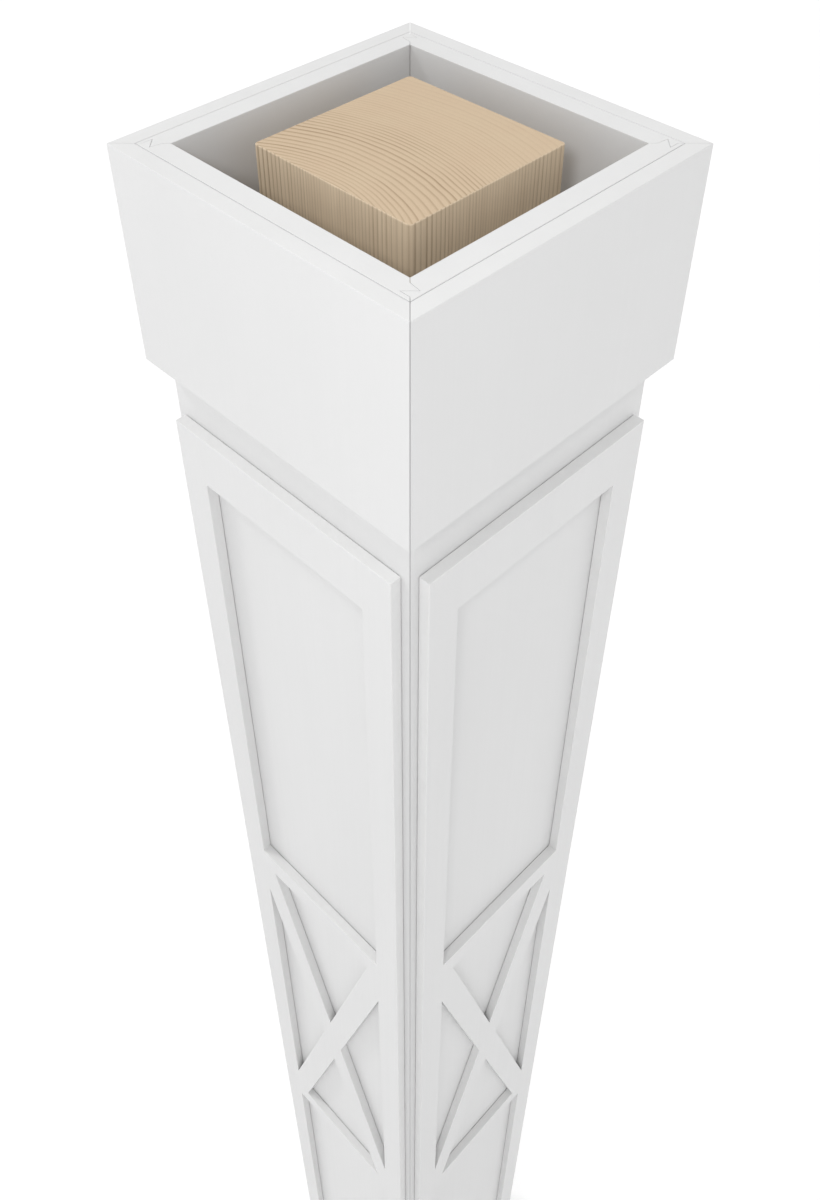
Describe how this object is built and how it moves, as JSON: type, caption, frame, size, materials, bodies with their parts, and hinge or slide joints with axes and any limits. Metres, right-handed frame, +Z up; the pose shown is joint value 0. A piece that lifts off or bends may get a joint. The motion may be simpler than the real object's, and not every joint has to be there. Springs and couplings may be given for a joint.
{
  "type": "square column",
  "caption": "Tall square porch column: a timber post boxed in by lock-mitred boards, with mitred collar and base boards and a fretwork panel with a crossed brace on each face.",
  "frame": {"origin": "on the ground, at the middle of the post's underside", "axes": "+Z up the column; the front face looks along -Y and the right face along +X"},
  "size_m": [0.2704, 0.2704, 2.4384],
  "materials": {
    "post_timber": "bare dressed softwood with close upright grain and growth rings on its end",
    "wrap_board": "smooth satin white cellular PVC, with matt cut edges",
    "trim_board": "smooth satin white cellular PVC, with matt cut edges",
    "fretwork_sheet": "smooth satin white cellular PVC sheet, with matt routed edges"
  },
  "bodies": {
    "root": {"timber_post": "post_timber", "wrap_board_front": "wrap_board", "wrap_board_right": "wrap_board", "wrap_board_back": "wrap_board", "wrap_board_left": "wrap_board", "collar_board_front": "trim_board", "collar_board_right": "trim_board", "collar_board_back": "trim_board", "collar_board_left": "trim_board", "base_board_front": "trim_board", "base_board_right": "trim_board", "base_board_back": "trim_board", "base_board_left": "trim_board", "fretwork_front": "fretwork_sheet", "fretwork_right": "fretwork_sheet", "fretwork_back": "fretwork_sheet", "fretwork_left": "fretwork_sheet"}
  },
  "joints": []
}
